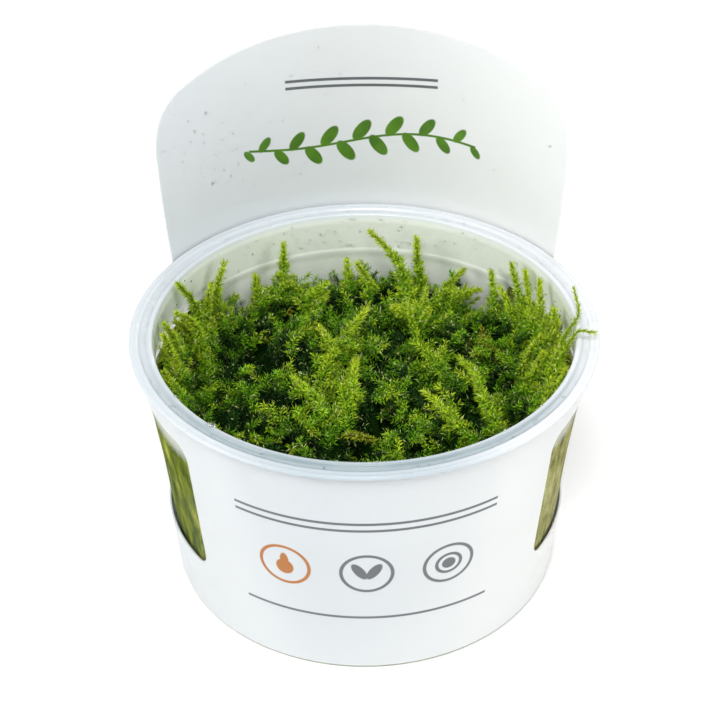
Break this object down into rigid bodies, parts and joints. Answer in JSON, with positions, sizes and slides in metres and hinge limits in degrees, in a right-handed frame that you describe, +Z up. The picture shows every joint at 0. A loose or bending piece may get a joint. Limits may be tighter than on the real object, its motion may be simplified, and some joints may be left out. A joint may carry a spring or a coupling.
{
  "type": "moss clump",
  "caption": "Clump of green aquarium moss with leafy standing shoots, growing in a small frosted cup inside a white card sleeve that rises behind it as a round-topped header.",
  "frame": {"origin": "middle of the cup's flat base, on the surface that it stands on", "axes": "+Z up along the cup's axis; the header card stands at the back, at +Y, and its printed face looks towards -Y; +X to the right of someone facing that card"},
  "size_m": [0.1, 0.1009, 0.1047],
  "materials": {
    "cup_plastic": "frosted, slightly see-through moulded plastic",
    "label_card": "white satin label card",
    "moss": "dense moist moss, dark between the tufts",
    "moss_shoots": "fresh yellow-green moss leaves"
  },
  "bodies": {
    "root": {"cup": "cup_plastic", "label_sleeve": "label_card", "moss_mat": "moss", "shoot_back_cone": "moss_shoots", "shoot_back_cone_side": "moss_shoots", "shoot_back_left_short": "moss_shoots", "shoot_back_left_tall": "moss_shoots", "shoot_back_middle": "moss_shoots", "shoot_back_middle_left": "moss_shoots", "shoot_back_middle_small": "moss_shoots", "shoot_front_left": "moss_shoots", "shoot_front_middle": "moss_shoots", "shoot_front_right": "moss_shoots", "shoot_left_leaning": "moss_shoots", "shoot_left_low_frond": "moss_shoots", "shoot_left_side_twig": "moss_shoots", "shoot_left_wall_front": "moss_shoots", "shoot_left_wall_low": "moss_shoots", "shoot_left_wall_lower": "moss_shoots", "shoot_left_wall_upper": "moss_shoots", "shoot_middle_back": "moss_shoots", "shoot_middle_bright": "moss_shoots", "shoot_middle_left": "moss_shoots", "shoot_middle_right": "moss_shoots", "shoot_over_flange": "moss_shoots", "shoot_right_arch": "moss_shoots", "shoot_right_column": "moss_shoots", "shoot_right_fork_left": "moss_shoots", "shoot_right_fork_right": "moss_shoots", "shoot_right_hook": "moss_shoots", "shoot_right_leaning": "moss_shoots", "shoot_right_level": "moss_shoots", "shoot_right_mass": "moss_shoots", "shoot_right_mass_back": "moss_shoots", "shoot_right_small": "moss_shoots", "shoot_right_tall": "moss_shoots", "shoot_right_wall_fresh": "moss_shoots", "shoot_right_wall_low": "moss_shoots", "shoot_tall_leaning": "moss_shoots", "shoot_tall_thin": "moss_shoots"}
  },
  "joints": []
}
